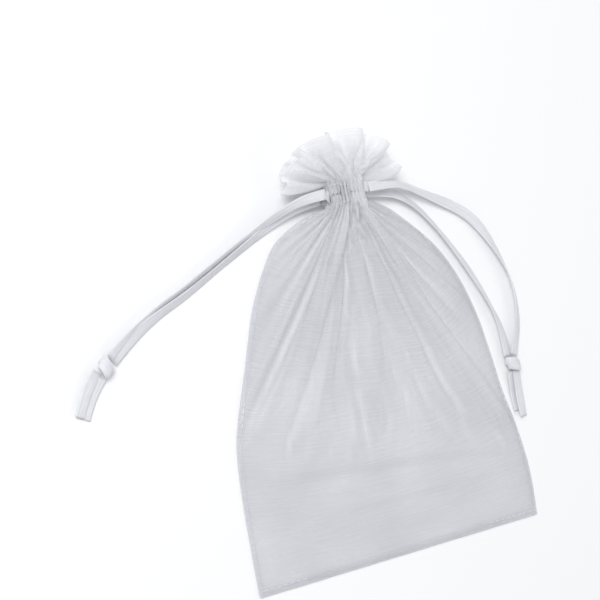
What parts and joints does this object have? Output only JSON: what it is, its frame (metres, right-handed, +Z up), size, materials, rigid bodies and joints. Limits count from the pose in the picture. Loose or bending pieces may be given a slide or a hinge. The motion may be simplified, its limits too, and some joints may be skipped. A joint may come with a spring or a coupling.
{
  "type": "drawstring gift pouch",
  "caption": "Small sheer fabric pouch drawn shut at the neck by two opposed ribbon drawstrings, with a flared header above the channel.",
  "frame": {"origin": "middle of the rectangle that the pouch itself takes up, without its drawstrings, on the surface it lies on", "axes": "+Y along the pouch from its bottom seam to its mouth, +X to the right across it, +Z up from the surface it lies on, out of its front panel"},
  "size_m": [0.156, 0.129, 0.0126],
  "materials": {
    "organza": "sheer, fine open weave, slight sheen",
    "satin_ribbon": "satin",
    "thread": "matte"
  },
  "bodies": {
    "pouch": {"back_panel": "organza", "front_panel": "organza", "left_side_seam": "organza", "right_side_seam": "organza", "bottom_seam": "organza"},
    "mouth_left": {"left_front_casing": "organza", "left_back_casing": "organza", "left_casing_facing": "organza", "left_front_header": "organza", "left_back_header": "organza", "left_lower_stitching": "thread", "left_upper_stitching": "thread", "left_drawstring_casing_run": "satin_ribbon"},
    "mouth_right": {"right_front_casing": "organza", "right_back_casing": "organza", "right_casing_facing": "organza", "right_front_header": "organza", "right_back_header": "organza", "right_lower_stitching": "thread", "right_upper_stitching": "thread", "right_drawstring_casing_run": "satin_ribbon"},
    "left_drawstring": {"left_drawstring_front_strand": "satin_ribbon", "left_drawstring_back_strand": "satin_ribbon", "left_drawstring_knot": "satin_ribbon", "left_drawstring_outer_tail": "satin_ribbon", "left_drawstring_inner_tail": "satin_ribbon"},
    "right_drawstring": {"right_drawstring_front_strand": "satin_ribbon", "right_drawstring_back_strand": "satin_ribbon", "right_drawstring_knot": "satin_ribbon", "right_drawstring_outer_tail": "satin_ribbon", "right_drawstring_inner_tail": "satin_ribbon"}
  },
  "joints": [
    {"name": "mouth_opening", "type": "slide", "parent": "pouch", "child": "mouth_left", "axis": [-1, 0, 0], "range_m": [0, 0.04], "deforming": ["left_drawstring_casing_run", "right_drawstring_casing_run"]},
    {"name": "mouth_right_side", "type": "slide", "parent": "mouth_left", "child": "mouth_right", "axis": [1, 0, 0], "range_m": [0, 0.08]},
    {"name": "left_drawstring_draw", "type": "slide", "parent": "mouth_left", "child": "left_drawstring", "axis": [0.9057, 0.424, 0], "range_m": [0, 0.08], "deforming": ["left_drawstring_front_strand", "left_drawstring_back_strand"]},
    {"name": "right_drawstring_draw", "type": "slide", "parent": "mouth_right", "child": "right_drawstring", "axis": [-0.5787, 0.8155, 0], "range_m": [0, 0.0695], "deforming": ["right_drawstring_front_strand", "right_drawstring_back_strand"]}
  ],
  "couplings": [
    {"joint": "mouth_right_side", "follows": "mouth_opening", "ratio": 2},
    {"joint": "left_drawstring_draw", "follows": "mouth_opening", "ratio": 2},
    {"joint": "right_drawstring_draw", "follows": "mouth_opening", "ratio": 1.7375}
  ]
}
